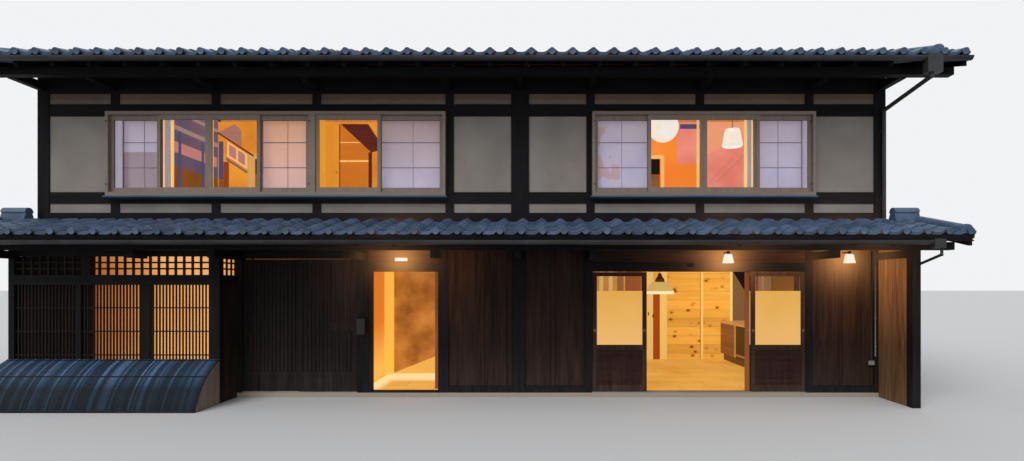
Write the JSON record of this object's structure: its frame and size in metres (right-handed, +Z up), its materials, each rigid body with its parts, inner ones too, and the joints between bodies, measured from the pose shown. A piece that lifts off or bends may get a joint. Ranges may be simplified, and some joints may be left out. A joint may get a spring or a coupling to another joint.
{
  "type": "machiya townhouse",
  "caption": "Two-storey timber townhouse with tiled roofs, plaster panels, a lattice bay with a bamboo skirt, and sliding doors.",
  "frame": {"origin": "on the underside of the ground floor slab, on the centre line of the street wall, midway between the two ends", "axes": "+X along the street, to the right seen from the street; +Y into the house; +Z up"},
  "size_m": [12.915, 8.02, 6.033],
  "materials": {
    "dark_timber": "satin",
    "aged_boards": "matte",
    "floor_slab": "matte",
    "track_sill": "matte",
    "plaster": "matte",
    "pale_timber": "satin",
    "window_glass": "polished",
    "screen_paper": "matte",
    "lit_paper": "matte",
    "roof_tile": "satin",
    "flashing": "satin",
    "gutter_metal": "satin",
    "bamboo": "matte",
    "lamp_glass": "gloss",
    "pine": "satin",
    "black_board": "satin",
    "box_metal": "satin",
    "door_timber": "satin"
  },
  "bodies": {
    "house": {"ground_floor": "floor_slab", "sill_beams": "dark_timber", "ground_posts": "dark_timber", "corner_posts": "dark_timber", "lintels": "dark_timber", "header_boards": "aged_boards", "board_walls": "aged_boards", "entry_jamb": "dark_timber", "door_tracks": "track_sill", "head_tracks": "dark_timber", "end_wall": "aged_boards", "end_post": "dark_timber", "bay_frame": "dark_timber", "bay_base": "aged_boards", "bay_lattice_left": "dark_timber", "bay_lattice_middle": "dark_timber", "bay_lattice_right": "dark_timber", "bay_transom": "dark_timber", "bay_return": "aged_boards", "bay_screen": "lit_paper", "bamboo_skirt": "bamboo", "skirt_ends": "aged_boards", "party_walls": "aged_boards", "floor_beam": "dark_timber", "upper_floor": "pale_timber", "upper_rails": "dark_timber", "upper_studs": "dark_timber", "plaster_panels": "plaster", "wall_plates": "dark_timber", "window_frames": "pale_timber", "window_sashes": "pale_timber", "window_glass": "window_glass", "paper_screens": "screen_paper", "sill_flashing": "flashing", "rear_posts": "dark_timber", "rear_boards": "aged_boards", "rear_rails": "dark_timber", "rear_plaster": "plaster", "rear_windows": "pale_timber", "eave_arms": "dark_timber", "eave_purlins": "dark_timber", "main_roof_frame": "dark_timber", "main_roof_tiles": "roof_tile", "roof_ridge": "roof_tile", "pent_roof_frame": "dark_timber", "pent_roof_tiles": "roof_tile", "gutters": "gutter_metal", "downpipes": "gutter_metal", "bracket_lamps": "lamp_glass", "post_box": "box_metal", "pine_wall": "pine", "counter": "black_board", "pendants": "lamp_glass"},
    "lattice_door_left": {"lattice_door_left": "dark_timber"},
    "lattice_door_right": {"lattice_door_right": "dark_timber"},
    "entry_door": {"entry_door": "door_timber"},
    "shop_door_1": {"shop_door_1": "door_timber"},
    "shop_door_2": {"shop_door_2": "door_timber"},
    "shop_door_3": {"shop_door_3": "door_timber"},
    "shop_door_4": {"shop_door_4": "door_timber"}
  },
  "joints": [
    {"name": "lattice_door_left_slide", "type": "slide", "parent": "house", "child": "lattice_door_left", "axis": [1, 0, 0], "range_m": [0, 0.785]},
    {"name": "lattice_door_right_slide", "type": "slide", "parent": "house", "child": "lattice_door_right", "axis": [1, 0, 0], "range_m": [-0.785, 0]},
    {"name": "entry_door_slide", "type": "slide", "parent": "house", "child": "entry_door", "axis": [1, 0, 0], "range_m": [-0.93, 0]},
    {"name": "shop_door_1_slide", "type": "slide", "parent": "house", "child": "shop_door_1", "axis": [1, 0, 0], "range_m": [0, 0.725]},
    {"name": "shop_door_2_slide", "type": "slide", "parent": "house", "child": "shop_door_2", "axis": [1, 0, 0], "range_m": [0, 0.725]},
    {"name": "shop_door_3_slide", "type": "slide", "parent": "house", "child": "shop_door_3", "axis": [1, 0, 0], "range_m": [-0.655, 0.06]},
    {"name": "shop_door_4_slide", "type": "slide", "parent": "house", "child": "shop_door_4", "axis": [1, 0, 0], "range_m": [-0.725, 0]}
  ]
}
